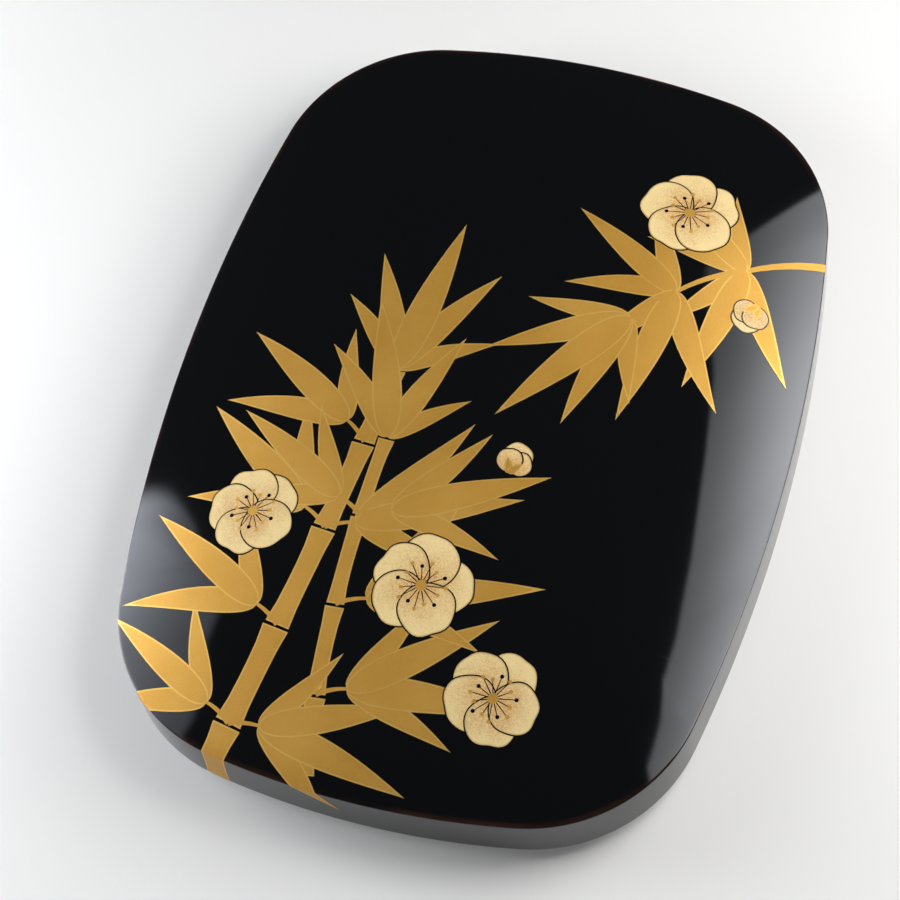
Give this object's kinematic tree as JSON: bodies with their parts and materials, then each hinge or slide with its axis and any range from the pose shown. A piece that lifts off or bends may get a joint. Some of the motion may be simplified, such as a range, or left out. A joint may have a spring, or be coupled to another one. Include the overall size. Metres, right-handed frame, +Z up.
{
  "type": "lacquered writing box",
  "caption": "Shallow lacquered writing box with a domed overlapping lid, a fitted board for an inkstone and water dropper, and side trays for brushes and ink.",
  "frame": {"origin": "middle of the underside, on the surface that the foot stands on", "axes": "+X across the box towards the tool tray, +Y along the box towards the dropper, +Z up"},
  "size_m": [0.182, 0.248, 0.04],
  "materials": {
    "black_lacquer": "mirror-polished black lacquer on wood",
    "inner_lacquer": "satin black lacquer on wood",
    "slate": "honed",
    "dropper_brass": "patinated",
    "bamboo": "polished cane",
    "horn": "polished dark horn",
    "hair": "animal hair",
    "ink": "pressed soot ink, satin"
  },
  "bodies": {
    "base": {"body_shell": "black_lacquer"},
    "lid": {"lid_shell": "black_lacquer"},
    "board": {"inkstone_board": "inner_lacquer"},
    "inkstone": {"inkstone": "slate"},
    "dropper": {"dropper_body": "dropper_brass", "dropper_top": "dropper_brass"},
    "brush_tray": {"brush_tray": "inner_lacquer"},
    "tool_tray": {"tool_tray": "inner_lacquer"},
    "large_brush": {"large_brush_shaft": "bamboo", "large_brush_collar": "horn", "large_brush_hair": "hair", "large_brush_end": "horn"},
    "large_cap": {"large_brush_cap": "bamboo"},
    "small_brush": {"small_brush_shaft": "bamboo", "small_brush_collar": "horn", "small_brush_hair": "hair", "small_brush_end": "horn"},
    "small_cap": {"small_brush_cap": "bamboo"},
    "ink_stick": {"ink_stick": "ink"},
    "holder": {"holder_left_jaw": "bamboo", "holder_right_jaw": "bamboo"},
    "holder_ring": {"holder_ring": "horn"}
  },
  "joints": [
    {"name": "lid_lift", "type": "slide", "parent": "base", "child": "lid", "axis": [0, 0, 1], "range_m": [0, 0.25]},
    {"name": "board_lift", "type": "slide", "parent": "base", "child": "board", "axis": [0, 0, 1], "range_m": [0, 0.06]},
    {"name": "brush_tray_lift", "type": "slide", "parent": "base", "child": "brush_tray", "axis": [0, 0, 1], "range_m": [0, 0.11]},
    {"name": "tool_tray_lift", "type": "slide", "parent": "base", "child": "tool_tray", "axis": [0, 0, 1], "range_m": [0, 0.11]},
    {"name": "inkstone_lift", "type": "slide", "parent": "board", "child": "inkstone", "axis": [0, 0, 1], "range_m": [0, 0.05]},
    {"name": "dropper_lift", "type": "slide", "parent": "board", "child": "dropper", "axis": [0, 0, 1], "range_m": [0, 0.07]},
    {"name": "large_brush_lift", "type": "slide", "parent": "brush_tray", "child": "large_brush", "axis": [0, 0, 1], "range_m": [0, 0.05]},
    {"name": "small_brush_lift", "type": "slide", "parent": "brush_tray", "child": "small_brush", "axis": [0, 0, 1], "range_m": [0, 0.05]},
    {"name": "ink_stick_lift", "type": "slide", "parent": "tool_tray", "child": "ink_stick", "axis": [0, 0, 1], "range_m": [0, 0.04]},
    {"name": "holder_lift", "type": "slide", "parent": "tool_tray", "child": "holder", "axis": [0, 0, 1], "range_m": [0, 0.05]},
    {"name": "large_cap_pull", "type": "slide", "parent": "large_brush", "child": "large_cap", "axis": [0, 1, 0], "range_m": [0, 0.036]},
    {"name": "small_cap_pull", "type": "slide", "parent": "small_brush", "child": "small_cap", "axis": [0, 1, 0], "range_m": [0, 0.029]},
    {"name": "ring_slide", "type": "slide", "parent": "holder", "child": "holder_ring", "axis": [0, 1, 0], "range_m": [0, 0.04]}
  ],
  "couplings": [
    {"joint": "board_lift", "follows": "lid_lift", "ratio": 0.24},
    {"joint": "brush_tray_lift", "follows": "lid_lift", "ratio": 0.44},
    {"joint": "tool_tray_lift", "follows": "lid_lift", "ratio": 0.44},
    {"joint": "inkstone_lift", "follows": "lid_lift", "ratio": 0.2},
    {"joint": "dropper_lift", "follows": "lid_lift", "ratio": 0.28},
    {"joint": "large_brush_lift", "follows": "lid_lift", "ratio": 0.2},
    {"joint": "small_brush_lift", "follows": "lid_lift", "ratio": 0.2},
    {"joint": "ink_stick_lift", "follows": "lid_lift", "ratio": 0.16},
    {"joint": "holder_lift", "follows": "lid_lift", "ratio": 0.2}
  ]
}
